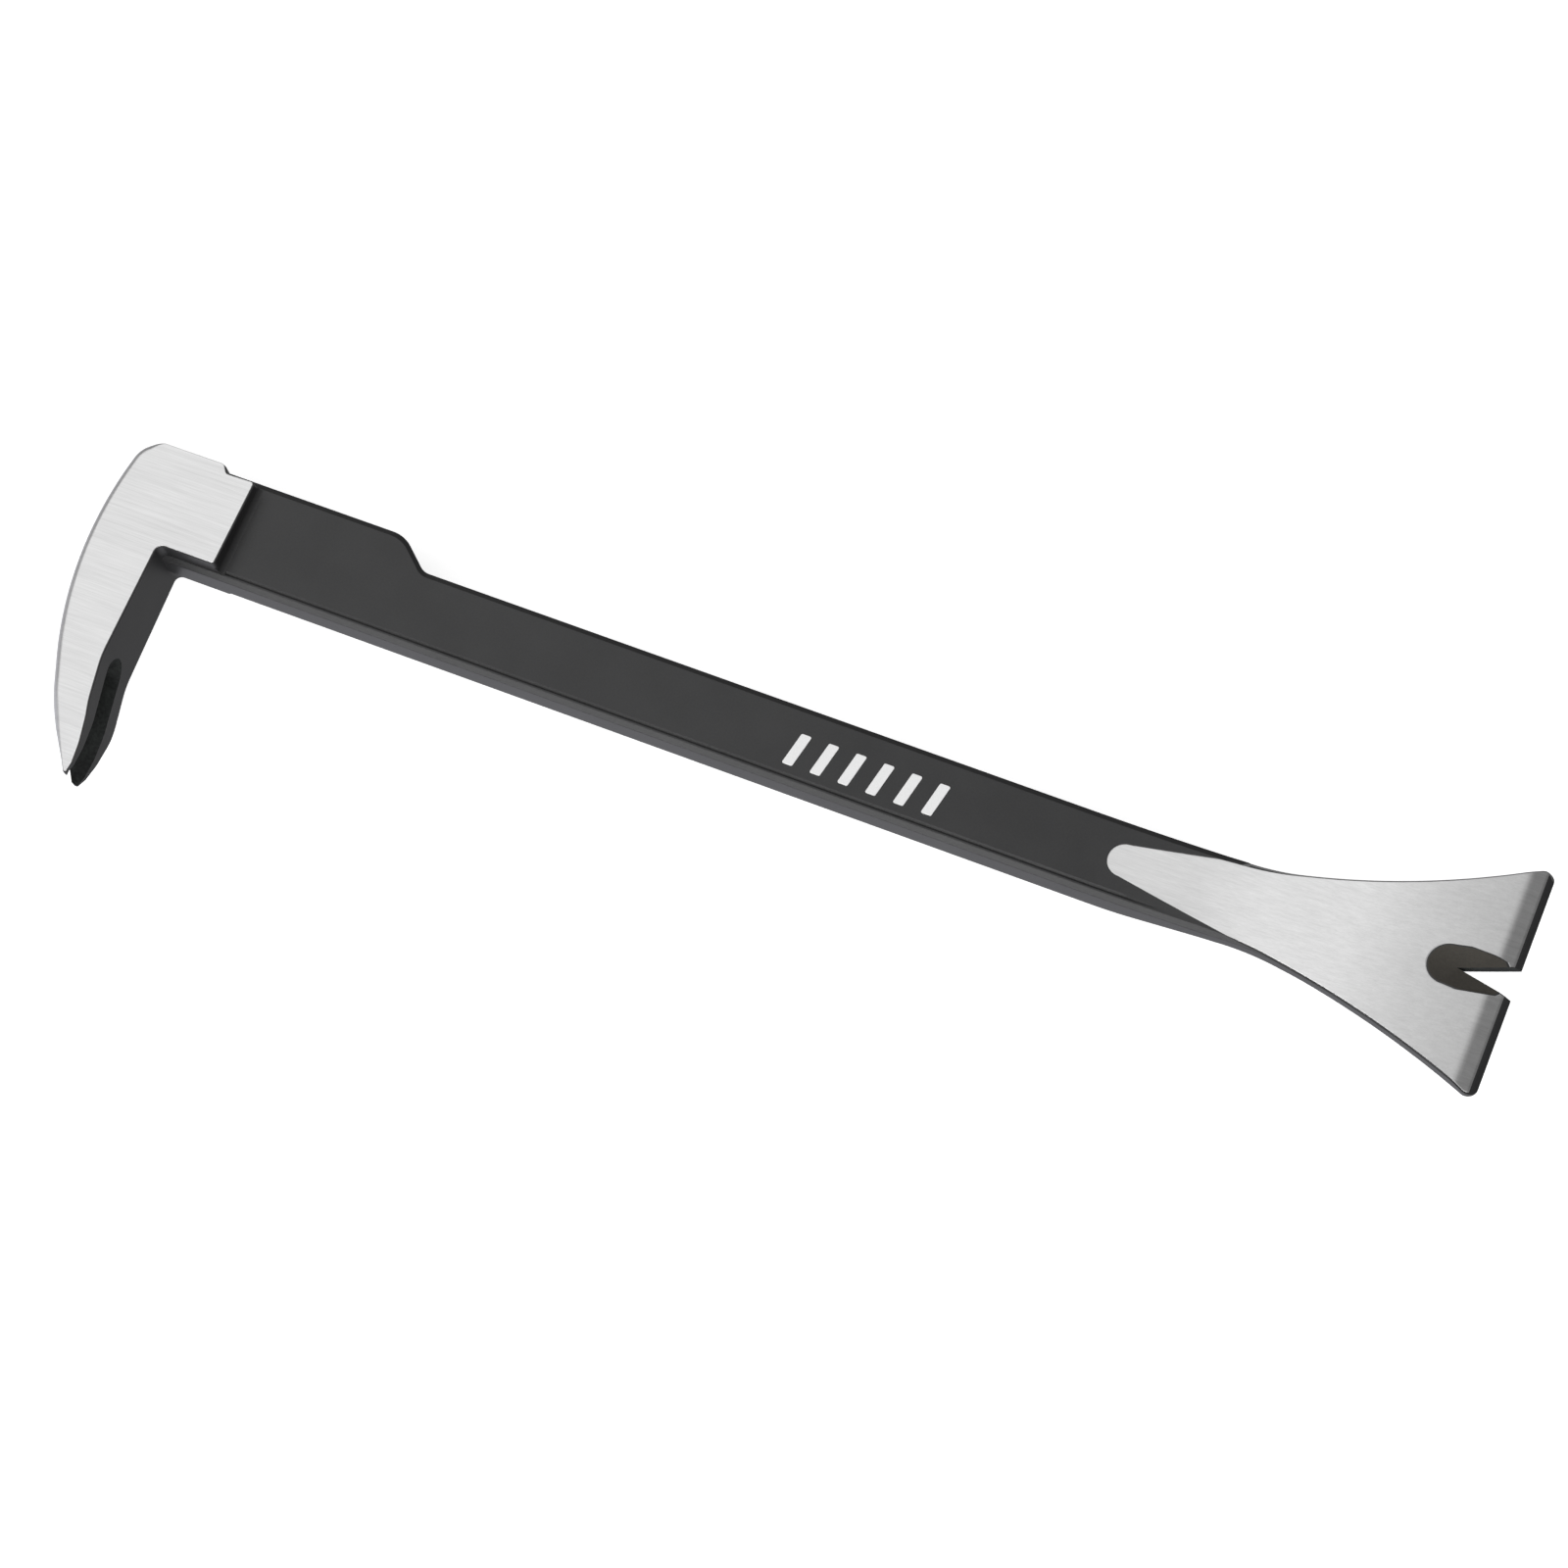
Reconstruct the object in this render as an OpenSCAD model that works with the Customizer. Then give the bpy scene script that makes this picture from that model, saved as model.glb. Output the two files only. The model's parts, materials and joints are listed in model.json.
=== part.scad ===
// One-piece forged claw bar: a hooked nail claw, a straight flat shank with a raised
// striking boss, and a fishtail blade with a nail notch. The forging is coated black,
// then its two broad head faces and the top of the blade are ground bright.

/* [Bar] */
// Overall length, from the back of the hook to the end of the blade
bar_length = 300; // [296:1:310]
// Width of the shank
shank_w = 16.4; // [15.6:0.2:17]
// Thickness of the shank
shank_t = 8; // [7:0.5:9]
// Chamfer along the shank's edges
shank_chamfer = 1; // [0.6:0.1:1.4]
// Thickness of the black coating
coat_t = 0.2; // [0.15:0.05:0.3]

/* [Head] */
// Length of the head's raised face along the shank
head_l = 28; // [26:0.5:30]
// Height of the striking boss above the shank's centre line
boss_top = 14.2; // [13.4:0.2:14.4]
// Length along the shank at which the boss ends
boss_end = 60.4; // [50:1:64]
// Reach of the claw's tip from the shank's centre line
hook_reach = 57.1; // [56.9:0.1:57.3]
// Radius of the hook's back
back_r = 84; // [83.5:0.1:84.5]
// Head thickness at the shank's centre line
head_t = 16.24; // [15.4:0.2:17]
// Draft of each broad head face, in millimetres for each millimetre towards the claw
head_draft = 0.04; // [0.03:0.005:0.045]
// Width of the nail slot in the claw
slot_w = 4.8; // [4.6:0.1:5.2]
// Width of the sink round the nail slot, in the claw's inner face
slot_sink_w = 8.6; // [7.8:0.1:8.8]
// Depth of that sink
slot_sink_d = 3.5; // [2.5:0.1:3.8]

/* [Blade] */
// Length along the shank at which the blade starts to bend up
bend_x = 212; // [208:1:216]
// Radius of the blade's bend
bend_r = 300; // [290:5:320]
// Thickness of the blade
blade_t = 3.2; // [2.8:0.1:3.6]
// Radius of the blade's two hollow flanks
flank_r = 174.5; // [173:0.5:180]
// Length of the bevel at the blade's end
bevel_l = 5; // [4:0.5:6]
// Length of the blade's nail notch, at its top edge
notch_l = 17.7; // [16.9:0.2:18.3]
// Width of the nail notch's countersink
sink_w = 9.4; // [8.4:0.2:9.8]
// Depth of that countersink
sink_d = 1.3; // [1:0.1:2]
// Width of the nail notch at its mouth
notch_mouth = 6.4; // [6:0.2:6.8]

/* [Mark] */
// Number of bars in the printed mark
mark_bars = 6; // [3:1:7]
// Height of the printed bars
mark_h = 7; // [5:0.5:9]

/* [Hidden] */

// The head and the claw, in millimetres from the hook's back and the shank's centre line
back_centre = [back_r, -5];
throat_y = -6.9;
kink_y = -33;
wide_y = -43;
straight_y = -38;
tip_half_w = 4.4;
slot_top_y = -32;
slot_sink_top = [15.4, -30.2];
claw_lean = 7.9;
boss_foot = boss_end + 6.9;

// The blade
flank_centre = [222, flank_r + 6];
flare_x = 250.1;
blade_half_w = flank_centre[1] - sqrt(pow(flank_r, 2) - pow(bar_length - flank_centre[0], 2));
bend_centre = [bend_x, bend_r + shank_t / 2];
heel_x = bend_x + 10;
thin_x = bend_x + 50;
notch_x = bar_length - notch_l;
notch_tilt = asin((notch_x + 8 - bend_x) / bend_r);
nose_x = 218.3;
nose_r = 3.4;
nose_y = 0.4;

// The printed mark
mark_t = 0.1;
mark_bar_w = 2.2;
mark_x = 151.5;
mark_pitch = 5.9;
mark_y = -0.9;
mark_slant = 12;

// Lowest point of the head, at its widest place, and the object's middle across
head_low = head_t / 2 - head_draft * wide_y;
origin = [bar_length / 2, (blade_half_w - hook_reach) / 2, -head_low];

function unit(v) = v / norm(v);
function left_of(v) = [-v[1], v[0]];

// The closed anticlockwise outline pts with each edge moved inwards by g
function inset(pts, g) = [
    for (i = [0:len(pts) - 1])
        let (
            here = pts[i],
            before = left_of(unit(here - pts[(i + len(pts) - 1) % len(pts)])),
            after = left_of(unit(pts[(i + 1) % len(pts)] - here))
        )
        here + g * (before + after) / (1 + before * after)
];

function arc(c, r, a0, a1, n) = [
    for (i = [0:n])
        let (a = a0 + (a1 - a0) * i / n)
        c + r * [cos(a), sin(a)]
];

// Height of the blade's top face, g below its coated surface
function top_z(x, g) = bend_centre[1] - sqrt(pow(bend_r + g, 2) - pow(x - bend_x, 2));

// Height of the underside where the blade is thin
function under_z(x) = bend_centre[1] - sqrt(pow(bend_r + blade_t, 2) - pow(x - bend_x, 2));

// Turns a drawing of Y and Z into a prism along X
module along_x(x0, x1) {
    translate([x0, 0, 0])
        rotate([90, 0, 90])
            linear_extrude(x1 - x0)
                children();
}

// Turns a drawing of X and Z into a prism along Y
module along_y(half_w) {
    translate([0, half_w, 0])
        rotate([90, 0, 0])
            linear_extrude(2 * half_w)
                children();
}

module chamfered_section(y0, y1, g) {
    h = shank_t / 2;
    c = shank_chamfer;
    polygon(inset([
        [y0 + c, -h], [y1 - c, -h], [y1, c - h], [y1, h - c],
        [y1 - c, h], [y0 + c, h], [y0, h - c], [y0, c - h]
    ], g));
}

module shank(g) {
    along_x(10, bend_x + 1)
        chamfered_section(-shank_w / 2, shank_w / 2, g);
}

// The raised boss on the shank's back, with its sloping end
module boss(g) {
    intersection() {
        along_x(10, boss_foot)
            chamfered_section(-shank_w / 2, boss_top, g);
        translate([0, 0, -shank_t])
            linear_extrude(2 * shank_t)
                polygon(inset([
                    [9, -shank_w], [boss_foot, -shank_w], [boss_foot, shank_w / 2],
                    [boss_end, boss_top], [9, boss_top]
                ], g));
    }
}

// The head seen from its broad side: the corner over the shank, the throat and the claw
module head_outline(g) {
    intersection() {
        union() {
            translate(back_centre)
                circle(r = back_r - g, $fn = 240);
            translate([0, -hook_reach - 1])
                square([30, hook_reach + 1 + straight_y]);
        }
        polygon(inset(concat(
            [[head_l, throat_y], [head_l, 12.8], [21.6, 12.6], [20.2, 14.4], [13.6, 14.5]],
            arc([5.8, 8.4], 5.2, 90, 180, 8),
            [[-2, 4], [-2, straight_y], [6.76, straight_y], [10.9, -48.3]],
            [[16.7, -hook_reach], [17.5, -hook_reach], [18.1, -55]],
            [[18.3, -51], [17.9, -45.5], [15.5, kink_y]],
            arc([16.9, throat_y - 1.6], 1.6, 180, 90, 5)
        ), g));
    }
}

// The head's thickness, which grows towards the claw and narrows to its two points
module head_profile() {
    root = [16, head_t / 2 - head_draft * 16];
    wide = [wide_y, head_low];
    tip = [-hook_reach - 0.5, tip_half_w];
    polygon([
        root, wide, tip,
        [tip[0], -tip[1]], [wide[0], -wide[1]], [root[0], -root[1]]
    ]);
}

// A slot with a round closed end at closed_y, of width w, seen from the claw's front
module slot_outline(closed_y, w) {
    translate([closed_y - w / 2, 0])
        circle(r = w / 2, $fn = 32);
    translate([-hook_reach - 3, -w / 2])
        square([hook_reach + 3 + closed_y - w / 2, w]);
}

// The nail slot through the claw, and the sink round it in the claw's inner face
module nail_slot(g) {
    along_x(-1, 22)
        slot_outline(slot_top_y + g, slot_w + 2 * g);
    translate(slot_sink_top)
        rotate(claw_lean)
            hull() {
                along_x(0, 5)
                    slot_outline(g, slot_sink_w + 2 * g);
                along_x(-slot_sink_d - g, 0.1 - slot_sink_d - g)
                    slot_outline(g - 3, slot_w + 2 * g);
            }
}

module head(g) {
    difference() {
        intersection() {
            translate([0, 0, -head_t])
                linear_extrude(2 * head_t)
                    head_outline(g);
            along_x(-1, 30)
                head_profile();
        }
        nail_slot(g);
    }
}

// The blade seen from above: the end of the shank and the hollow-flanked fishtail
module blade_outline(g) {
    half_w = shank_w / 2 - g;
    translate([bend_x, -half_w])
        square([flare_x - bend_x + 0.4, 2 * half_w]);
    difference() {
        translate([flare_x, -30])
            square([bar_length - flare_x - g, 60]);
        for (side = [-1, 1])
            translate([flank_centre[0], side * flank_centre[1]])
                circle(r = flank_r + g, $fn = 360);
    }
}

// The space above the blade's top face and its bevel, seen from the side
module above_blade(g) {
    bevel_x = bar_length - bevel_l;
    translate(bend_centre)
        circle(r = bend_r + g, $fn = 360);
    polygon([
        [bevel_x, top_z(bevel_x, g)], [bar_length + 1, under_z(bar_length) + 1.4 - g],
        [bar_length + 1, 40], [bevel_x, 40]
    ]);
}

// The blade seen from the side: the bend, the thinning underside and the end's bevel
module blade_profile(g) {
    difference() {
        union() {
            polygon(inset([
                [bend_x - 2, -shank_t / 2], [heel_x, -shank_t / 2],
                [thin_x, under_z(thin_x)], [thin_x, 30], [bend_x - 2, 30]
            ], g));
            intersection() {
                translate([thin_x - 1, 0])
                    square([50, 30]);
                translate(bend_centre)
                    circle(r = bend_r + blade_t - g, $fn = 360);
            }
        }
        above_blade(g);
    }
}

// The through notch in the blade's end, and the countersink for a nail's head
module nail_notch(g) {
    sink_r = sink_w / 2;
    apex = 6.1;
    rim_end = notch_mouth / 2 - 0.2;
    end = notch_l + 4;
    mouth = notch_mouth / 2 * (end - apex) / (notch_l - apex);
    v_shape = [[apex - 2 * g, 0], [end, -mouth - g], [end, mouth + g]];
    translate([notch_x, 0, top_z(notch_x, 0)])
        rotate([0, -notch_tilt, 0]) {
            translate([0, 0, -10])
                linear_extrude(20)
                    polygon(v_shape);
            hull() {
                translate([0, 0, -0.1]) {
                    linear_extrude(2.1) {
                        translate([sink_r, 0])
                            circle(r = sink_r + g, $fn = 32);
                        polygon([
                            [sink_r, -sink_r - g], [end, -rim_end - g],
                            [end, rim_end + g], [sink_r, sink_r + g]
                        ]);
                    }
                }
                translate([0, 0, -sink_d - g])
                    linear_extrude(0.1)
                        polygon([[apex - 1, 0], [end, -2.6], [end, 2.6]]);
            }
        }
}

module blade(g) {
    difference() {
        intersection() {
            translate([0, 0, -10])
                linear_extrude(40)
                    blade_outline(g);
            along_y(30)
                blade_profile(g);
        }
        nail_notch(g);
    }
}

// The whole bar, with every coated surface moved inwards by g
module bar(g) {
    shank(g);
    boss(g);
    head(g);
    blade(g);
}

// The space above the blade's ground face: a round-nosed tongue and all of the fishtail
module ground_space() {
    intersection() {
        translate([0, 0, -10])
            linear_extrude(40) {
                translate([nose_x + nose_r, nose_y])
                    circle(r = nose_r, $fn = 64);
                polygon([
                    [nose_x + nose_r, nose_y - nose_r], [flare_x, -shank_w / 2], [flare_x, -30],
                    [bar_length + 1, -30], [bar_length + 1, 30],
                    [flare_x, 30], [flare_x, shank_w / 2], [nose_x + nose_r, nose_y + nose_r]
                ]);
            }
        along_y(30)
            above_blade(coat_t);
    }
}

module forged_bar() {
    color("silver")
        translate(-origin)
            bar(coat_t);
}

module black_coating() {
    color("dimgray")
        translate(-origin)
            difference() {
                bar(0);
                bar(coat_t);
                ground_space();
            }
}

// A plain row of slanted bars printed on the shank
module printed_mark() {
    lean = mark_h * tan(mark_slant);
    color("white")
        translate(-origin)
            for (i = [0:mark_bars - 1])
                translate([mark_x + i * mark_pitch, mark_y - mark_h / 2, shank_t / 2])
                    linear_extrude(mark_t)
                        polygon([[0, 0], [mark_bar_w, 0], [mark_bar_w + lean, mark_h], [lean, mark_h]]);
}

forged_bar();
black_coating();
printed_mark();
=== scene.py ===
import json
import math

import bmesh
import bpy
from mathutils import Matrix, Vector

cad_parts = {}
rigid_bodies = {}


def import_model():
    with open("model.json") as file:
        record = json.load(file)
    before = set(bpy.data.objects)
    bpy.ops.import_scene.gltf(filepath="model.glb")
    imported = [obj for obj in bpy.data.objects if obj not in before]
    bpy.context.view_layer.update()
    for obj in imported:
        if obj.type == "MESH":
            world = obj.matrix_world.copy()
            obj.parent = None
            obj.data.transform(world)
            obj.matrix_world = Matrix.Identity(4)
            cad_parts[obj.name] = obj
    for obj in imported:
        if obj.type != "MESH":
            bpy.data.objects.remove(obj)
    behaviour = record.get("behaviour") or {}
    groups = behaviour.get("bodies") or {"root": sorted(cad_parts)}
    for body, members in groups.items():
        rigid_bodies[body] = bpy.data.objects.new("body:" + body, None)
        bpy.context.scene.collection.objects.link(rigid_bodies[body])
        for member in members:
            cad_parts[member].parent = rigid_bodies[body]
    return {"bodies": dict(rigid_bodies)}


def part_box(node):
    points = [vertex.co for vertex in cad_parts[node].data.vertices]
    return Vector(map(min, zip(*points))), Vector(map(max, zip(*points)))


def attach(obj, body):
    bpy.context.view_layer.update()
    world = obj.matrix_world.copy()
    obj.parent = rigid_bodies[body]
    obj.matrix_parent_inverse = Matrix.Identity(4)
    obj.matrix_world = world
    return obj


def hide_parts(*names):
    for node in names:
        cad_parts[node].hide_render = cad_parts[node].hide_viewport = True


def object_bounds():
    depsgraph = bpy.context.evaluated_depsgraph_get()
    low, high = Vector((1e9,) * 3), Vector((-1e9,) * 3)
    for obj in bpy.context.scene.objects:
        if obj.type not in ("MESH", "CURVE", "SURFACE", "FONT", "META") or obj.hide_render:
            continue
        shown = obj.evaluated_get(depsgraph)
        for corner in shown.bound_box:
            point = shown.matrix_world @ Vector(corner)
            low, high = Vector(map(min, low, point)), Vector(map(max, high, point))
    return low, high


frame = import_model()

# Shapes are drawn in millimetres in the bar's own axes and put into the frame at the end:
# x from the hook's back along the shank, y across from the shank's centre line, away from
# the claw, and z up from the middle of the shank's thickness.
MM = 0.001
BODY = next(iter(frame["bodies"]))
CAD_LOW, CAD_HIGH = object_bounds()
COAT_LOW, COAT_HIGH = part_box("black_coating")
MARK_LOW, MARK_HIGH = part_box("printed_mark")

SHANK_T = 8.0
SHANK_W = 16.4
COAT = 0.2
RIM = 0.3                     # how far the coating stops below a ground face's edge
# Widths of the head's worn edges: in front and below, down the hook's back, and on top
STEEL_WEAR = (0.15, 1.6, 0.15)
COAT_WEAR = (0.05, 4.0, 1.1)

BAR_LENGTH = (COAT_HIGH.x - COAT_LOW.x) / MM
HOOK_REACH = 57.1
TIP_Y = -HOOK_REACH           # the claw's very end
HEAD_LOW = 9.84
ORIGIN = Vector((COAT_LOW.x, COAT_LOW.y + HOOK_REACH * MM, CAD_LOW.z + HEAD_LOW * MM))

# Head and claw
HEAD_END = 28.0
THROAT_Y = -6.9
HEAD_T = 16.24
HEAD_DRAFT = 0.04
WIDE_Y = -43.0
TIP_HALF = 4.4
HEAD_TOP = 14.45
CROWN_R = 6.0
BACK_R = 84.0
BACK_CENTRE = (84.0, -5.0)
STRAIGHT_Y = -38.0            # where the round back runs out into the straighter tip
CLAW_FRONT = [                # the claw's inner face, from the tip up to the throat, with corner radii
    (17.5, TIP_Y, 0.4), (18.1, -55, 2), (18.3, -51, 12), (17.9, -45.5, 25), (15.5, -33, 25),
    (15.3, THROAT_Y, 1.6),
]
BACK_TIP = [(10.9, -48.3, 30), (16.7, TIP_Y, 0.4)]
SLOT_W = 4.8
SLOT_TOP = -32.0
SINK_TOP = -30.2              # the slot's sink, in the claw's inner face
SINK_HALF = 4.3
SINK_TIP_HALF = 3.9
SINK_SLOPE = 1.15             # how fast it deepens below its top
SINK_IN = 3.5                 # how deep it goes

# Shank and boss
BOSS_TOP = 14.2
BOSS_END = 60.4
BOSS_FOOT = 67.3
CHAMFER = 1.0
GROOVE_DEPTH = 0.3            # the fine groove along the wide face's lower edge
GROOVE_END = 236.0            # where it has faded out
FAR_CHAMFER = 1.25            # how much wider the chamfer is along the wide face's upper edge

# Blade
BEND_X = 212.0
BEND_R = 300.0
BLADE_T = 3.2
FLANK_R = 174.5
FLANK_X = 222.0
FLARE_X = 250.1
BEVEL_X = 295.0
NOTCH_L = 17.7
NOTCH_V = 6.1                 # from the notch's closed end to the apex of its through V
SINK_W = 9.4
SINK_DEPTH = 1.3
NOTCH_MOUTH = 6.4
NOSE_X = 218.3
NOSE_Y = 0.4
NOSE_R = 3.4


# ---------------------------------------------------------------- outlines

def rounded(corners, steps=6, closed=True):
    """The outline of (x, y, radius) corners, with each corner turned into an arc."""
    made = []
    last = len(corners) - 1
    for i, (x, y, radius) in enumerate(corners):
        here = Vector((x, y))
        if radius == 0 or (not closed and i in (0, last)):
            made.append(here)
            continue
        before = (Vector(corners[i - 1][:2]) - here).normalized()
        after = (Vector(corners[(i + 1) % len(corners)][:2]) - here).normalized()
        half = before.angle(after) / 2
        centre = here + (before + after).normalized() * (radius / math.sin(half))
        start = here + before * (radius / math.tan(half)) - centre
        end = here + after * (radius / math.tan(half)) - centre
        turn = math.atan2(start.cross(end), start.dot(end))
        for k in range(steps + 1):
            made.append(centre + Matrix.Rotation(turn * k / steps, 2) @ start)
    return made


def arc(centre, radius, start, end, steps):
    """Points on an arc between two angles in degrees."""
    turns = [math.radians(start + (end - start) * k / steps) for k in range(steps + 1)]
    return [Vector((centre[0] + radius * math.cos(a), centre[1] + radius * math.sin(a))) for a in turns]


def inset(points, gap):
    """The closed anticlockwise outline moved inwards by gap, or by a gap for each point."""
    made = []
    gaps = gap if isinstance(gap, list) else [gap] * len(points)
    for i, (here, gap) in enumerate(zip(points, gaps)):
        before = (here - points[i - 1]).normalized()
        after = (points[(i + 1) % len(points)] - here).normalized()
        before, after = Vector((-before.y, before.x)), Vector((-after.y, after.x))
        made.append(here + (before + after) * (gap / (1 + before.dot(after))))
    return made


def at(curve, x):
    """The height at x of a curve given as points with rising x."""
    if x <= curve[0].x:
        return curve[0].y
    for a, b in zip(curve, curve[1:]):
        if a.x <= x <= b.x:
            return b.y if b.x == a.x else a.y + (b.y - a.y) * (x - a.x) / (b.x - a.x)
    return curve[-1].y


# ---------------------------------------------------------------- solids

def solid(name, bm):
    """A new mesh object from bm, with its faces pointing outwards."""
    bmesh.ops.recalc_face_normals(bm, faces=bm.faces)
    mesh = bpy.data.meshes.new(name)
    bm.to_mesh(mesh)
    bm.free()
    piece = bpy.data.objects.new(name, mesh)
    bpy.context.scene.collection.objects.link(piece)
    return piece


def loft(name, rings, split=False):
    """A closed solid through rings of points that all have the same count. split cuts each of
    its sides into triangles, the same way every time."""
    bm = bmesh.new()
    rows = [[bm.verts.new(p) for p in ring] for ring in rings]
    for low, high in zip(rows, rows[1:]):
        for i in range(len(low)):
            j = (i + 1) % len(low)
            if split:
                bm.faces.new((low[i], low[j], high[i]))
                bm.faces.new((low[j], high[j], high[i]))
            else:
                bm.faces.new((low[i], low[j], high[j], high[i]))
    bm.faces.new(rows[0])
    bm.faces.new(rows[-1])
    return solid(name, bm)


def prism(name, outline, axes, low, high):
    """The 2D outline extruded between low and high. axes names where its two directions go."""
    def place(point, depth):
        spot = {axes[0]: point.x, axes[1]: point.y}
        return Vector([spot.get(axis, depth) for axis in "xyz"])
    return loft(name, [[place(p, depth) for p in outline] for depth in (low, high)])


def combine(kind, body, *tools):
    """Joins, cuts or intersects body with each tool, and removes the tools."""
    for tool in tools:
        step = body.modifiers.new("step", "BOOLEAN")
        step.operation = kind
        step.solver = "EXACT"
        step.object = tool
        apply_modifiers(body)
        bpy.data.objects.remove(tool)
    return body


def apply_modifiers(piece):
    graph = bpy.context.evaluated_depsgraph_get()
    mesh = bpy.data.meshes.new_from_object(piece.evaluated_get(graph))
    piece.modifiers.clear()
    piece.data = mesh


def coloured(piece, index):
    """Gives every face of the piece the same one of the coating's finishes."""
    piece.data.materials.clear()
    for finish in COAT_FINISHES:
        piece.data.materials.append(finish)
    piece.data.polygons.foreach_set("material_index", [index] * len(piece.data.polygons))
    return piece


def copy_of(piece):
    twin = piece.copy()
    twin.data = piece.data.copy()
    bpy.context.scene.collection.objects.link(twin)
    return twin


# ---------------------------------------------------------------- shank, boss and blade

def top_at(x):
    """Height of the bent top face, before its bevel."""
    return BEND_R + SHANK_T / 2 - math.sqrt(BEND_R ** 2 - (x - BEND_X) ** 2)


def under_at(x):
    """Height of the underside where the blade is thin."""
    return BEND_R + SHANK_T / 2 - math.sqrt((BEND_R + BLADE_T) ** 2 - (x - BEND_X) ** 2)


def flank_at(x):
    """Half the blade's width where its flanks are hollow."""
    return FLANK_R + 6 - math.sqrt(FLANK_R ** 2 - (x - FLANK_X) ** 2)


def steps_between(start, end, count):
    return [start + (end - start) * k / count for k in range(count + 1)]


def edge_curve(first):
    """Distance of one long edge from the centre line, all along the bar."""
    flank = [(x, flank_at(x), 0) for x in steps_between(FLARE_X + 6, BAR_LENGTH - 3, 20)]
    end = [(BAR_LENGTH, flank_at(BAR_LENGTH), 1.9), (BAR_LENGTH, 10, 0)]
    curve = rounded(first + [(FLARE_X, SHANK_W / 2, 60)] + flank + end, 8, closed=False)
    return curve[:-1]


START_X = 12.0
FAR_EDGE = edge_curve([
    (START_X, BOSS_TOP, 0), (BOSS_END, BOSS_TOP, 7), (BOSS_FOOT, SHANK_W / 2, 3.5),
])
NEAR_EDGE = edge_curve([(START_X, SHANK_W / 2, 0)])
LIP = 0.8                     # height of the rounded end's top edge over its underside
BEVEL_END = 1.65              # and of the bevel's lower end
TOP_EDGE = rounded(
    [(START_X, SHANK_T / 2, 0)]
    + [(x, top_at(x), 0) for x in steps_between(BEND_X, BEVEL_X - 2, 42)]
    + [(BEVEL_X, top_at(BEVEL_X), 7)]
    + [(BAR_LENGTH - 1.3, under_at(BAR_LENGTH) + BEVEL_END, 1.6)]
    + [(BAR_LENGTH, under_at(BAR_LENGTH) + LIP, 0.5), (BAR_LENGTH, under_at(BAR_LENGTH), 0)],
    8, closed=False)[:-1]
UNDER_EDGE = rounded(
    [(START_X, -SHANK_T / 2, 0), (BEND_X + 10, -SHANK_T / 2, 40), (BEND_X + 50, under_at(BEND_X + 50), 30)]
    + [(x, under_at(x), 0) for x in steps_between(BEND_X + 58, BAR_LENGTH - 2, 16)]
    + [(BAR_LENGTH, under_at(BAR_LENGTH), 0.1), (BAR_LENGTH, 30, 0)],
    6, closed=False)[:-1]
CHAMFERS = [
    Vector((START_X, CHAMFER)), Vector((240, CHAMFER)), Vector((256, 0.35)),
    Vector((BAR_LENGTH - 1, 0.3)), Vector((BAR_LENGTH, 0.06)),
]


def stations():
    """Every x at which one of the bar's long edges turns."""
    found = sorted(p.x for curve in (FAR_EDGE, NEAR_EDGE, TOP_EDGE, UNDER_EDGE, CHAMFERS) for p in curve)
    return [x for i, x in enumerate(found) if i == 0 or x - found[i - 1] > 0.01]


def section(x, gap):
    """The shank's or blade's rounded section at x, moved inwards by gap."""
    low_y, high_y = gap - at(NEAR_EDGE, x), at(FAR_EDGE, x) - gap
    low_z, high_z = at(UNDER_EDGE, x) + gap, at(TOP_EDGE, x) - gap
    c = at(CHAMFERS, x) - gap * (2 - math.sqrt(2)) * at(CHAMFERS, x) / CHAMFER
    c = min(c, (high_z - low_z) / 2.2)
    r = 0.3 * c
    groove = low_y + 1.3 * c
    dip = GROOVE_DEPTH * c * max(0, min(1, (GROOVE_END - x) / 12))
    corners = [
        (low_y + c, low_z, r), (high_y - c, low_z, r), (high_y, low_z + c, r), (high_y, high_z - c, r),
        (high_y - FAR_CHAMFER * c, high_z, r),
        (groove + 0.9 * c, high_z, 0), (groove + 0.4 * c, high_z - dip, 0), (groove, high_z, 0),
        (low_y + c, high_z, 0.6 * r), (low_y, high_z - c, r), (low_y, low_z + c, r),
    ]
    shift = gap * max(0, (x - BEVEL_X) / (BAR_LENGTH - BEVEL_X))
    return [Vector((x - shift, p.x, p.y)) for p in rounded(corners, 3)]


def long_bar(name, gap):
    return loft(name, [section(x, gap) for x in stations()])


# ---------------------------------------------------------------- head and claw

def back_edge():
    """The hook's back from the crown's flat top down to the tip."""
    lift = HEAD_TOP - CROWN_R - BACK_CENTRE[1]
    join = math.degrees(math.asin(lift / (BACK_R - CROWN_R)))
    crown_x = BACK_CENTRE[0] - (BACK_R - CROWN_R) * math.cos(math.radians(join))
    crown = arc((crown_x, HEAD_TOP - CROWN_R), CROWN_R, 90, 180 - join, 14)
    low = math.degrees(math.asin((STRAIGHT_Y - BACK_CENTRE[1]) / BACK_R))
    back = arc(BACK_CENTRE, BACK_R, 180 - join, 180 - low, 34)
    tip = rounded([(*back[-1], 0), *BACK_TIP, (*CLAW_FRONT[0][:2], 0)], 8, closed=False)
    return crown + back[1:] + tip[1:-1]


def head_outline(gap):
    """The head and claw seen from the broad side."""
    front = rounded([
        (*BACK_TIP[-1][:2], 0), *CLAW_FRONT, (HEAD_END, THROAT_Y, 0.85), (HEAD_END, 12.8, 0.85),
        (21.6, 12.6, 0.8), (20.2, HEAD_TOP, 1.2), (CROWN_R + 4, HEAD_TOP, 0),
    ], 6, closed=False)
    return inset(front[1:] + back_edge(), gap)


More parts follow.
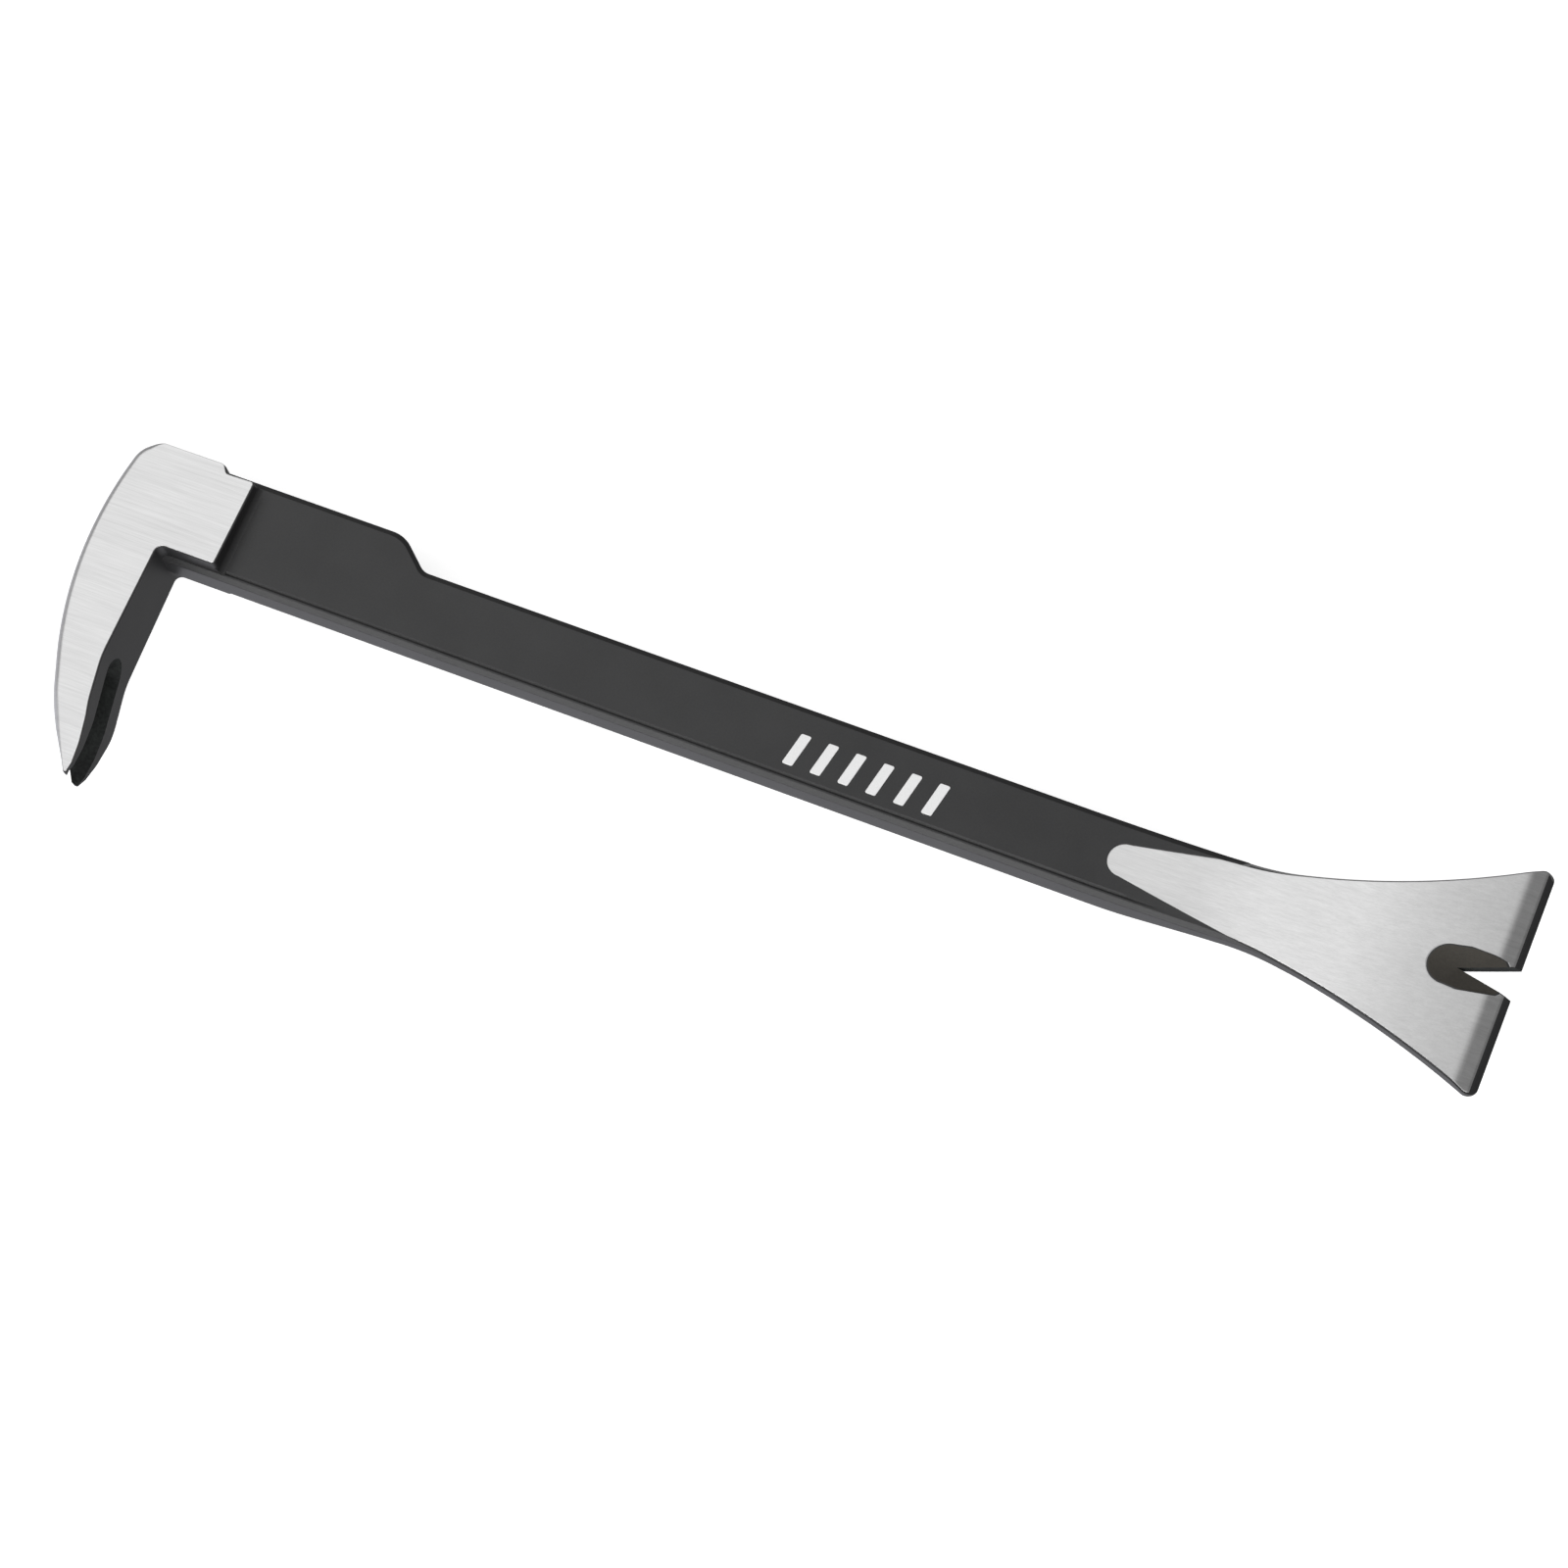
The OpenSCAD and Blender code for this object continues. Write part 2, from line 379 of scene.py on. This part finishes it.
HALF_T = rounded([
    (TIP_Y - 0.5, TIP_HALF, 0), (WIDE_Y, HEAD_T / 2 - HEAD_DRAFT * WIDE_Y, 10),
    (18, HEAD_T / 2 - HEAD_DRAFT * 18, 0),
], 8, closed=False)


def wear_widths(outline, edge, back, top):
    """How wide the ground face's worn edge is at each outline point, by the way that it faces."""
    widths = []
    for i, here in enumerate(outline):
        along = (outline[(i + 1) % len(outline)] - outline[i - 1]).normalized()
        facing_back = max(0.0, min(1.0, (-along.y - 0.1) / 0.5))
        facing_top = max(0.0, min(1.0, (-along.x - 0.3) / 0.5, (HEAD_END - here.x) / 4))
        near_tip = max(0.08, min(1.0, (here.y - TIP_Y) / 9))
        wide = max((back - edge) * facing_back, (top - edge) * facing_top)
        widths.append((edge + wide) * near_tip)
    return widths


def head(name, gap, drop, edges, steps=7):
    """The head and claw with its two broad faces lowered by drop and their edges worn round."""
    outline = head_outline(gap)
    widths = wear_widths(outline, *edges)
    flat = HEAD_T
    rings = []
    for k in range(steps + 1):
        turn = math.radians(90 * k / steps)
        sides = inset(outline, [w * (1 - math.cos(turn)) for w in widths])
        rings.append([
            Vector((p.x, p.y, flat - w + w * math.sin(turn))) for p, w in zip(sides, widths)
        ])
    rings = [[Vector((p.x, p.y, -p.z)) for p in ring] for ring in reversed(rings)] + rings
    piece = loft(name, rings)
    bm = bmesh.new()
    bm.from_mesh(piece.data)
    for p in HALF_T[1:-1]:
        bmesh.ops.bisect_plane(
            bm, geom=[*bm.verts, *bm.edges, *bm.faces], dist=0.001,
            plane_co=(0, p.x, 0), plane_no=(0, 1, 0))
    for vert in bm.verts:
        side = 1 if vert.co.z > 0 else -1
        vert.co.z += side * (at(HALF_T, vert.co.y) - drop - flat)
    bm.to_mesh(piece.data)
    bm.free()
    return piece


def nail_slot(gap):
    """The claw's slot, right through."""
    centre_y = SLOT_TOP - SLOT_W / 2
    radius = SLOT_W / 2 + gap
    outline = arc((centre_y, 0), radius, -90, 90, 24)
    outline += [Vector((TIP_Y - 1, radius)), Vector((TIP_Y - 1, -radius))]
    return coloured(prism("slot", outline, "yz", -4, 24), 1)


def slot_sink(gap):
    """The sink round the slot in the claw's inner face, whose sides slope in to the slot's."""
    centre_y = SINK_TOP - SINK_HALF
    face = [Vector((y, x)) for x, y, _ in CLAW_FRONT]
    back = [Vector((p.y, p.x)) for p in reversed(back_edge())]
    ys = [centre_y + SINK_HALF * math.cos(math.radians(a)) for a in range(6, 91, 7)]
    ys += steps_between(centre_y - 1, TIP_Y - 1, 26)
    rings = []
    for y in ys:
        if y > centre_y:
            half = math.sqrt(SINK_HALF ** 2 - (y - centre_y) ** 2)
        else:
            half = SINK_HALF + (SINK_TIP_HALF - SINK_HALF) * (centre_y - y) / (centre_y - TIP_Y)
        mouth_x = at(face, y)
        depth = min(SINK_IN, SINK_SLOPE * (SINK_TOP - y), mouth_x - at(back, y) - 0.2)
        deep_half = min(0.9 * half, SLOT_W / 2)
        side = [(26, half), (mouth_x, half), (mouth_x - depth - gap, deep_half)]
        ring = [(x, -z - gap) for x, z in side] + [(x, z + gap) for x, z in reversed(side)]
        rings.append([Vector((x, y + gap, z)) for x, z in ring])
    return coloured(loft("slot_sink", rings, split=True), 1)


def step_fillet(gap):
    """The fillet at the foot of the step from the head down to the shank."""
    r = 1.3
    face = SHANK_T / 2 - gap
    end = HEAD_END - gap
    curve = arc((end + r, face + r), r, 180, 270, 6)
    outline = [Vector((end - 2, face - 1))] + [Vector((end - 2, face + r))] + curve
    outline += [Vector((end + r, face - 1))]
    pair = []
    for side in (1, -1):
        turned = [Vector((p.x, side * p.y)) for p in outline]
        pair.append(prism("fillet", turned, "xz", THROAT_Y + gap, 12.7 - gap))
    return pair


# ---------------------------------------------------------------- blade's ground face and notch

def tongue_edge(x, side):
    """The ground tongue's edge at x, on the side (1 or -1) of the centre line."""
    nose = NOSE_X + NOSE_R
    if x < nose:
        return NOSE_Y + side * (math.sqrt(max(0, NOSE_R ** 2 - (nose - x) ** 2)) + 0.002)
    start = NOSE_Y + side * NOSE_R
    reach = FLARE_X if side < 0 else FLARE_X - 4
    return start + (side * SHANK_W / 2 - start) * (x - nose) / (reach - nose)


def ground_cutter(depth):
    """The space over the blade's ground face, depth below the coated surface. It goes lower
    at the flank that the grinding wheel leaves by, so that the steel is bare there."""
    xs = [NOSE_X + NOSE_R * (1 - math.cos(math.radians(a))) for a in range(2, 91, 8)]
    xs += [p.x for p in TOP_EDGE if NOSE_X + NOSE_R + 0.5 < p.x < FLARE_X] + [FLARE_X]
    flare = [FLARE_X + 0.02] + [p.x for p in TOP_EDGE if p.x > FLARE_X + 0.5] + [BAR_LENGTH + 1]

    def ring(x, near, far, lip, low):
        floor = max(at(TOP_EDGE, x) - depth, under_at(x) + 0.4)
        low = max(floor - low, under_at(x) + 0.4)
        spots = [(near, floor), (lip - 0.2, floor), (lip, low), (far, low), (far, 40), (near, 40)]
        return [Vector((x, y, z)) for y, z in spots]
    rings = []
    for x in xs:
        near, far = tongue_edge(x, -1), tongue_edge(x, 1)
        flank = at(FAR_EDGE, x) - 0.5
        if far > flank + 0.2:
            rings.append(ring(x, near, far + 1, flank, 1.0))
        else:
            rings.append(ring(x, near, far, near + 0.8 * (far - near), 0))
    rings += [ring(x, -30, 30, at(FAR_EDGE, x) - 0.5, 1.0) for x in flare]
    return loft("ground", rings)


def nail_notch(gap):
    """The notch in the blade's end: a through V, and a sloping sink for a nail's head."""
    start = BAR_LENGTH - NOTCH_L
    end = NOTCH_L + 4
    mouth = NOTCH_MOUTH / 2 * (end - NOTCH_V) / (NOTCH_L - NOTCH_V)
    v_shape = [Vector((NOTCH_V - 2 * gap, 0)), Vector((end, -mouth - gap)), Vector((end, mouth + gap))]
    through = prism("through", v_shape, "xy", -10, 10)
    sink = SINK_W / 2
    rim_end = NOTCH_MOUTH / 2 - 0.2
    round_end = arc((sink, 0), sink + gap, 90, 270, 40)
    rim = round_end + [Vector((end, -rim_end - gap)), Vector((end, rim_end + gap))]
    bm = bmesh.new()
    for z in (-0.1, 2.0):
        for p in rim:
            bm.verts.new((p.x, p.y, z))
    for x, y in ((NOTCH_V - 1, 0), (end, -2.6), (end, 2.6)):
        bm.verts.new((x, y, -SINK_DEPTH - gap))
    bmesh.ops.convex_hull(bm, input=bm.verts)
    sunk = solid("sink", bm)
    tilt = math.asin((start + 8 - BEND_X) / BEND_R)
    turn = Matrix.Translation((start, 0, top_at(start))) @ Matrix.Rotation(-tilt, 4, "Y")
    through.data.transform(turn)
    sunk.data.transform(turn)
    return [coloured(through, 1), coloured(sunk, 2)]


# ---------------------------------------------------------------- the three pieces

def make_steel():
    """The forging, just under its coating, with its ground faces bare."""
    steel = coloured(long_bar("forged_bar_steel", COAT), 0)
    block = head("head", COAT, 0, STEEL_WEAR)
    combine("UNION", steel, block, *step_fillet(COAT))
    combine("DIFFERENCE", steel, nail_slot(COAT), slot_sink(COAT), *nail_notch(COAT))
    return steel


def make_coating(steel):
    """The coating as a shell round the forging, open over the ground faces."""
    coat = coloured(long_bar("black_coating_film", 0), 0)
    block = head("head", 0, RIM, COAT_WEAR)
    combine("UNION", coat, block, *step_fillet(0))
    combine("DIFFERENCE", coat, nail_slot(0), slot_sink(0), *nail_notch(0))
    combine("DIFFERENCE", coat, ground_cutter(COAT + 0.05), coloured(copy_of(steel), 0))
    return coat


def make_mark():
    """The printed bars, each a thin pad of paint with rounded corners."""
    low, high = MARK_LOW, MARK_HIGH
    bars = 6
    bar_w = 2.2 * MM
    lean = (high.y - low.y) * math.tan(math.radians(12))
    pitch = (high.x - low.x - lean - bar_w) / (bars - 1)
    bm = bmesh.new()
    for i in range(bars):
        x = low.x + i * pitch
        corners = [
            (x, low.y), (x + bar_w, low.y), (x + bar_w + lean, high.y), (x + lean, high.y),
        ]
        for inner, z in ((0, low.z + 0.01 * MM), (0, high.z - 0.04 * MM), (0.05 * MM, high.z - 0.01 * MM)):
            outline = inset(rounded([(*c, 0.35 * MM) for c in corners], 5), inner)
            row = [bm.verts.new((p.x, p.y, z)) for p in outline]
            if inner == 0 and z < high.z - 0.05 * MM:
                bm.faces.new(list(reversed(row)))
            else:
                for a in range(len(row)):
                    b = (a + 1) % len(row)
                    bm.faces.new((under[a], under[b], row[b], row[a]))
            under = row
        bm.faces.new(under)
    return solid("printed_mark_bars", bm)


def finish_mesh(piece):
    """Cleans the mesh, puts it into the frame and shades it."""
    bm = bmesh.new()
    bm.from_mesh(piece.data)
    bmesh.ops.remove_doubles(bm, verts=bm.verts, dist=0.002)
    bmesh.ops.dissolve_degenerate(bm, edges=bm.edges, dist=0.002)
    bm.to_mesh(piece.data)
    bm.free()
    piece.data.transform(Matrix.Translation(ORIGIN) @ Matrix.Scale(MM, 4))
    smooth(piece)


def smooth(piece, sharp=30.0):
    """Shades the piece smooth, apart from its sharp edges and the rims where its finish changes."""
    mesh = piece.data
    mesh.shade_smooth()
    mesh.set_sharp_from_angle(angle=math.radians(sharp))
    bm = bmesh.new()
    bm.from_mesh(mesh)
    for edge in bm.edges:
        if len({face.material_index for face in edge.link_faces}) > 1:
            edge.smooth = False
    bm.to_mesh(mesh)
    bm.free()
    weigh = piece.modifiers.new("weigh", "WEIGHTED_NORMAL")
    weigh.keep_sharp = True
    weigh.weight = 100


# ---------------------------------------------------------------- materials

def material(name):
    made = bpy.data.materials.new(name)
    made.use_nodes = True
    nodes = made.node_tree.nodes
    return made, nodes, made.node_tree.links, nodes["Principled BSDF"]


def noise(nodes, links, vector, scale, detail=2.0, roughness=0.5):
    made = nodes.new("ShaderNodeTexNoise")
    made.inputs["Scale"].default_value = scale
    made.inputs["Detail"].default_value = detail
    made.inputs["Roughness"].default_value = roughness
    links.new(vector, made.inputs["Vector"])
    return made.outputs["Fac"]


def mapped(nodes, links, scale=(1, 1, 1), turn=(0, 0, 0)):
    where = nodes.new("ShaderNodeTexCoord")
    mapping = nodes.new("ShaderNodeMapping")
    mapping.inputs["Scale"].default_value = scale
    mapping.inputs["Rotation"].default_value = turn
    links.new(where.outputs["Object"], mapping.inputs["Vector"])
    return mapping.outputs["Vector"]


def ramp(nodes, links, value, stops):
    made = nodes.new("ShaderNodeValToRGB")
    while len(made.color_ramp.elements) < len(stops):
        made.color_ramp.elements.new(0.5)
    for element, (place, colour) in zip(made.color_ramp.elements, stops):
        element.position = place
        element.color = (*colour, 1)
    links.new(value, made.inputs["Fac"])
    return made.outputs["Color"]


def blend(nodes, links, factor, a, b, kind="MIX"):
    made = nodes.new("ShaderNodeMix")
    made.data_type = "RGBA"
    made.blend_type = kind
    for socket, value in ((made.inputs[0], factor), (made.inputs[6], a), (made.inputs[7], b)):
        if hasattr(value, "links"):
            links.new(value, socket)
        elif hasattr(value, "__len__"):
            socket.default_value = (*value, 1)
        else:
            socket.default_value = value
    return made.outputs[2]


def spread(nodes, links, value, low, high):
    made = nodes.new("ShaderNodeMapRange")
    made.inputs["To Min"].default_value = low
    made.inputs["To Max"].default_value = high
    links.new(value, made.inputs["Value"])
    return made.outputs["Result"]


def bump(nodes, links, height, distance, strength=1.0, over=None):
    made = nodes.new("ShaderNodeBump")
    made.inputs["Strength"].default_value = strength
    made.inputs["Distance"].default_value = distance
    links.new(height, made.inputs["Height"])
    if over is not None:
        links.new(over, made.inputs["Normal"])
    return made.outputs["Normal"]


def along_bar(nodes, links, stops):
    """A grey that follows (x in the frame, value) stops along the bar."""
    where = nodes.new("ShaderNodeTexCoord")
    split = nodes.new("ShaderNodeSeparateXYZ")
    links.new(where.outputs["Object"], split.inputs[0])
    place = nodes.new("ShaderNodeMapRange")
    place.inputs["From Min"].default_value = stops[0][0]
    place.inputs["From Max"].default_value = stops[-1][0]
    links.new(split.outputs["X"], place.inputs["Value"])
    span = stops[-1][0] - stops[0][0]
    greys = [((x - stops[0][0]) / span, (v, v, v)) for x, v in stops]
    return ramp(nodes, links, place.outputs["Result"], greys)


def ground_steel():
    """Steel with the straight grain that a belt leaves, and painted shade along the bar: a little darker
    on the head and much darker towards the blade's end.
    """
    made, nodes, links, shader = material("ground_steel")
    grain_turn = (0, 0, math.radians(-5))
    long_grain = noise(nodes, links, mapped(nodes, links, (40, 1700, 1700), grain_turn), 1.0, 3.0, 0.6)
    fine_grain = noise(nodes, links, mapped(nodes, links, (160, 7000, 7000), grain_turn), 1.0, 2.0, 0.6)
    clouds = noise(nodes, links, mapped(nodes, links, (60, 160, 160), grain_turn), 1.0, 2.0)
    lines = blend(nodes, links, 0.45, long_grain, fine_grain)
    tone = ramp(nodes, links, lines, [(0.3, (0.68, 0.68, 0.68)), (0.7, (0.86, 0.86, 0.86))])
    tint = ramp(nodes, links, clouds, [(0.3, (0.96, 0.96, 0.96)), (0.7, (1.0, 1.0, 1.0))])
    # Painted shade: the steel's colour is darkened along the bar, slightly on the head and most at the
    # blade's end, standing for how the light falls off.
    steel_painted_shade = along_bar(nodes, links, [
        (-0.12, 0.92), (0.066, 1.0), (0.085, 0.88), (0.10, 0.97),
        (0.118, 0.92), (0.130, 0.76), (0.145, 0.62),
    ])
    tone = blend(nodes, links, 1.0, tone, tint, "MULTIPLY")
    links.new(blend(nodes, links, 1.0, tone, steel_painted_shade, "MULTIPLY"), shader.inputs["Base Color"])
    links.new(spread(nodes, links, lines, 0.30, 0.42), shader.inputs["Roughness"])
    rough = bump(nodes, links, long_grain, 0.00003, 0.5)
    links.new(bump(nodes, links, fine_grain, 0.00001, 0.4, rough), shader.inputs["Normal"])
    shader.inputs["Metallic"].default_value = 1.0
    return made


def dark_skin(name, low, high, grain, roughness, depth):
    """A dark finish whose colour runs from low to high in grains of that many per metre."""
    made, nodes, links, shader = material(name)
    skin = noise(nodes, links, mapped(nodes, links), grain, 2.0, 0.5)
    cloud = noise(nodes, links, mapped(nodes, links), 90.0, 3.0, 0.5)
    tone = ramp(nodes, links, blend(nodes, links, 0.5, skin, cloud), [(0.38, low), (0.62, high)])
    links.new(tone, shader.inputs["Base Color"])
    links.new(spread(nodes, links, skin, *roughness), shader.inputs["Roughness"])
    links.new(bump(nodes, links, skin, depth, 0.5), shader.inputs["Normal"])
    return made


def black_coat():
    """Satin black baked coating."""
    low, high = (0.018, 0.018, 0.0187), (0.025, 0.025, 0.0257)
    return dark_skin("black_coat", low, high, 2600.0, (0.38, 0.5), 0.00001)


def slot_skin_and_shade():
    """The rough, scaly black inside the claw's slot, its colour taken darker than the coating's as painted
    shade in the slot's hollow.
    """
    # Painted shade: the darkest grains go far below the coating's black, standing for the shade inside the
    # slot; the greenish mottle is the wall's own.
    low, high = (0.002, 0.003, 0.003), (0.022, 0.026, 0.024)
    return dark_skin("slot_skin_and_shade", low, high, 1500.0, (0.75, 0.95), 0.0001)


def notch_wall():
    """The brown-black oxide in the blade's notch."""
    low, high = (0.028, 0.024, 0.018), (0.042, 0.037, 0.029)
    return dark_skin("notch_wall", low, high, 1800.0, (0.6, 0.8), 0.00004)


def white_print():
    """Flat white ink."""
    made, nodes, links, shader = material("white_print")
    skin = noise(nodes, links, mapped(nodes, links), 5000.0, 2.0, 0.5)
    tone = ramp(nodes, links, skin, [(0.3, (0.88, 0.88, 0.88)), (0.7, (0.95, 0.95, 0.95))])
    links.new(tone, shader.inputs["Base Color"])
    links.new(spread(nodes, links, skin, 0.5, 0.6), shader.inputs["Roughness"])
    links.new(bump(nodes, links, skin, 0.000005, 0.4), shader.inputs["Normal"])
    return made


# ---------------------------------------------------------------- studio

def make_camera():
    """A long lens over the near side, level with neither of the bar's axes."""
    data = bpy.data.cameras.new("camera")
    data.lens = 90
    data.sensor_width = 36
    data.clip_start = 0.01
    camera = bpy.data.objects.new("camera", data)
    bpy.context.scene.collection.objects.link(camera)
    centre = (CAD_LOW + CAD_HIGH) / 2
    camera.location = Vector((centre.x, centre.y, CAD_LOW.z)) + Vector((0.16747, -0.20267, 0.73603))
    camera.rotation_euler = [math.radians(a) for a in (19.5297, 5.5675, 22.5648)]
    bpy.context.scene.camera = camera


def softbox(name, place, facing, size, power):
    """An area light at place that shines against the facing direction."""
    data = bpy.data.lights.new(name, "AREA")
    data.shape = "RECTANGLE"
    data.size, data.size_y = size
    data.energy = power
    lamp = bpy.data.objects.new(name, data)
    bpy.context.scene.collection.objects.link(lamp)
    lamp.location = place
    lamp.rotation_euler = Vector(facing).to_track_quat("Z", "Y").to_euler()
    lamp.visible_camera = False


def make_floor():
    """A plain white floor that shows to the camera but throws no light back."""
    bm = bmesh.new()
    bmesh.ops.create_circle(bm, cap_ends=True, segments=96, radius=12)
    floor = solid("studio_floor", bm)
    floor.location.z = CAD_LOW.z - 0.0002
    made, nodes, links, shader = material("studio_floor")
    soft = noise(nodes, links, mapped(nodes, links), 3.0, 2.0)
    links.new(ramp(nodes, links, soft, [(0.3, (0.93, 0.93, 0.93)), (0.7, (0.95, 0.95, 0.95))]),
              shader.inputs["Base Color"])
    shader.inputs["Roughness"].default_value = 0.9
    shader.inputs["Emission Color"].default_value = (1, 1, 1, 1)
    shader.inputs["Emission Strength"].default_value = 0.6
    floor.data.materials.append(made)
    floor.visible_glossy = False
    floor.visible_diffuse = False


def make_world():
    """A dim room, brightest low down on the near side."""
    world = bpy.data.worlds.new("studio")
    bpy.context.scene.world = world
    world.use_nodes = True
    nodes, links = world.node_tree.nodes, world.node_tree.links
    where = nodes.new("ShaderNodeTexCoord")
    towards = nodes.new("ShaderNodeVectorMath")
    towards.operation = "DOT_PRODUCT"
    links.new(where.outputs["Generated"], towards.inputs[0])
    towards.inputs[1].default_value = (-0.55, -0.45, -0.7)
    height = nodes.new("ShaderNodeMapRange")
    height.inputs["From Min"].default_value = -1
    links.new(towards.outputs["Value"], height.inputs["Value"])
    tone = ramp(nodes, links, height.outputs["Result"], [
        (0.0, (0.25, 0.25, 0.25)), (0.4, (0.12, 0.12, 0.12)),
        (0.7, (0.5, 0.5, 0.51)), (0.95, (0.75, 0.75, 0.8)),
    ])
    links.new(tone, nodes["Background"].inputs["Color"])
    nodes["Background"].inputs["Strength"].default_value = 1.0


# ---------------------------------------------------------------- scene

bpy.context.scene.view_settings.view_transform = "Standard"
make_camera()

# In the order that coloured() counts them in
COAT_FINISHES = [black_coat(), slot_skin_and_shade(), notch_wall()]
steel = make_steel()
coating = make_coating(steel)
mark = make_mark()
finish_mesh(steel)
finish_mesh(coating)
smooth(mark)

steel.data.polygons.foreach_set("material_index", [0] * len(steel.data.polygons))
for piece, finish in ((steel, ground_steel()), (mark, white_print())):
    piece.data.materials.clear()
    piece.data.materials.append(finish)
for piece, node, slot in (
    (steel, "forged_bar", "ground_steel"),
    (coating, "black_coating", "black_coat"),
    (mark, "printed_mark", "white_print"),
):
    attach(piece, BODY)
    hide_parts(node)

make_floor()
make_world()
softbox("overhead", (-0.75, 0.25, 1.2), (0, 0, 1), (1.5, 2.7), 12.6)
softbox("front", (-0.2, -1.13, 0.32), (-0.2, -0.94, 0.27), (1.4, 0.35), 6)
softbox("key", (0.45, -0.85, 0.8), (0.35, -0.7, 0.62), (0.8, 0.6), 7)
